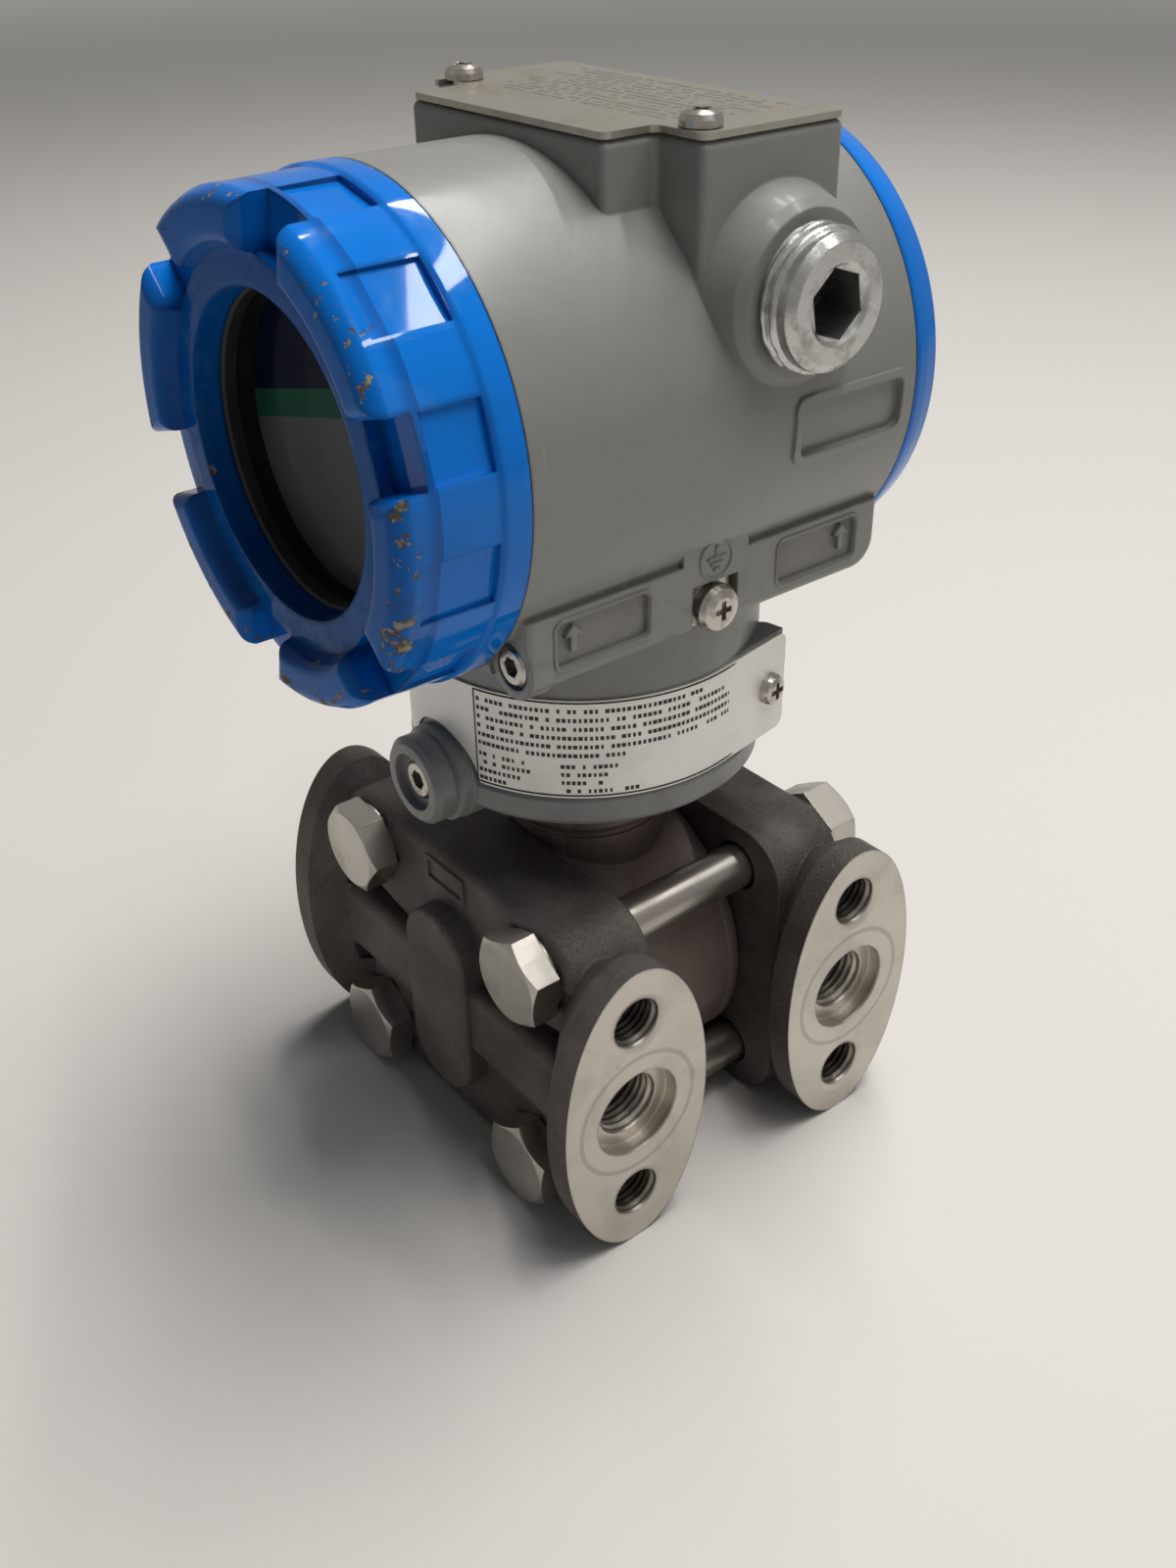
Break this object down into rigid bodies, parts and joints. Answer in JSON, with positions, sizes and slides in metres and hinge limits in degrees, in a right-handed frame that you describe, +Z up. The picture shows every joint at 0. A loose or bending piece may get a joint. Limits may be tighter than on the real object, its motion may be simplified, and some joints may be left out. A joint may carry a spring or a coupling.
{
  "type": "differential pressure transmitter",
  "caption": "Differential pressure transmitter: round housing with a windowed display cover, neck, and a capsule clamped between two process flanges.",
  "frame": {"origin": "centre of the hole pattern on the two process connection faces that stay open, halfway between their ports", "axes": "+X points out of the open process ports, -Y towards the display cover, +Z up the neck to the housing"},
  "size_m": [0.0946, 0.1101, 0.1931],
  "materials": {
    "cover_paint": "gloss",
    "housing_paint": "semi-gloss",
    "cast_steel": "blasted",
    "bolt_steel": "satin",
    "capsule_steel": "satin",
    "plug_zinc": "dull",
    "plate_steel": "brushed",
    "screw_steel": "satin",
    "rubber_black": "matte",
    "gasket_white": "matte",
    "window_glass": "clear",
    "display_case": "matte",
    "display_film": "gloss",
    "board_case": "matte",
    "terminal_black": "matte",
    "button_grey": "matte"
  },
  "bodies": {
    "sensor": {"sensor_capsule": "capsule_steel", "high_side_flange": "cast_steel", "low_side_flange": "cast_steel", "flange_bolts": "bolt_steel", "flange_nuts": "bolt_steel", "flange_gaskets": "gasket_white", "isolating_diaphragms": "screw_steel", "stem_seal": "rubber_black", "blank_plugs": "screw_steel"},
    "housing_body": {"housing": "housing_paint", "neck_plate": "plate_steel", "neck_plate_screws": "screw_steel", "cover_lock_screws": "screw_steel", "housing_lock_screw": "screw_steel", "earth_screw": "screw_steel", "earth_washer": "screw_steel", "conduit_plug_right": "plug_zinc", "conduit_plug_left": "plug_zinc", "top_plate_screws": "screw_steel", "terminal_block": "terminal_black", "terminal_screws": "screw_steel", "electronics_module": "board_case", "display_module": "display_case", "display_glass": "display_film", "zero_spring": "screw_steel", "span_spring": "screw_steel"},
    "front_cover_carriage": {"front_cover_seal": "rubber_black"},
    "front_cover_body": {"front_cover": "cover_paint", "window_gasket": "rubber_black", "window_glass": "window_glass", "window_retainer": "screw_steel"},
    "rear_cover_carriage": {"rear_cover_seal": "rubber_black"},
    "rear_cover_body": {"rear_cover": "cover_paint"},
    "top_plate_body": {"top_plate": "plate_steel"},
    "zero_button_body": {"zero_button": "button_grey"},
    "span_button_body": {"span_button": "button_grey"}
  },
  "joints": [
    {"name": "housing_turn", "type": "hinge", "parent": "sensor", "child": "housing_body", "pos_m": [-0.048, 0, 0.05], "axis": [0, 0, 1], "range_deg": [-180, 180]},
    {"name": "front_cover_travel", "type": "slide", "parent": "housing_body", "child": "front_cover_carriage", "axis": [0, -1, 0], "range_m": [0, 0.012]},
    {"name": "front_cover_turn", "type": "hinge", "parent": "front_cover_carriage", "child": "front_cover_body", "pos_m": [-0.048, -0.039, 0.1158], "axis": [0, -1, 0], "range_deg": [0, 2160]},
    {"name": "rear_cover_travel", "type": "slide", "parent": "housing_body", "child": "rear_cover_carriage", "axis": [0, 1, 0], "range_m": [0, 0.012]},
    {"name": "rear_cover_turn", "type": "hinge", "parent": "rear_cover_carriage", "child": "rear_cover_body", "pos_m": [-0.048, 0.039, 0.1158], "axis": [0, 1, 0], "range_deg": [0, 2160]},
    {"name": "top_plate_turn", "type": "hinge", "parent": "housing_body", "child": "top_plate_body", "pos_m": [-0.019, 0, 0.158], "axis": [0, 0, -1], "range_deg": [0, 90]},
    {"name": "zero_button_press", "type": "slide", "parent": "housing_body", "child": "zero_button_body", "axis": [0, 0, -1], "range_m": [0, 0.0012], "stiffness_N_per_m": 400, "springref_m": -0.0005, "deforming": ["zero_spring"]},
    {"name": "span_button_press", "type": "slide", "parent": "housing_body", "child": "span_button_body", "axis": [0, 0, -1], "range_m": [0, 0.0012], "stiffness_N_per_m": 400, "springref_m": -0.0005, "deforming": ["span_spring"]}
  ],
  "couplings": [
    {"joint": "front_cover_travel", "follows": "front_cover_turn", "m_per_rad": 0.0003183},
    {"joint": "rear_cover_travel", "follows": "rear_cover_turn", "m_per_rad": 0.0003183}
  ]
}
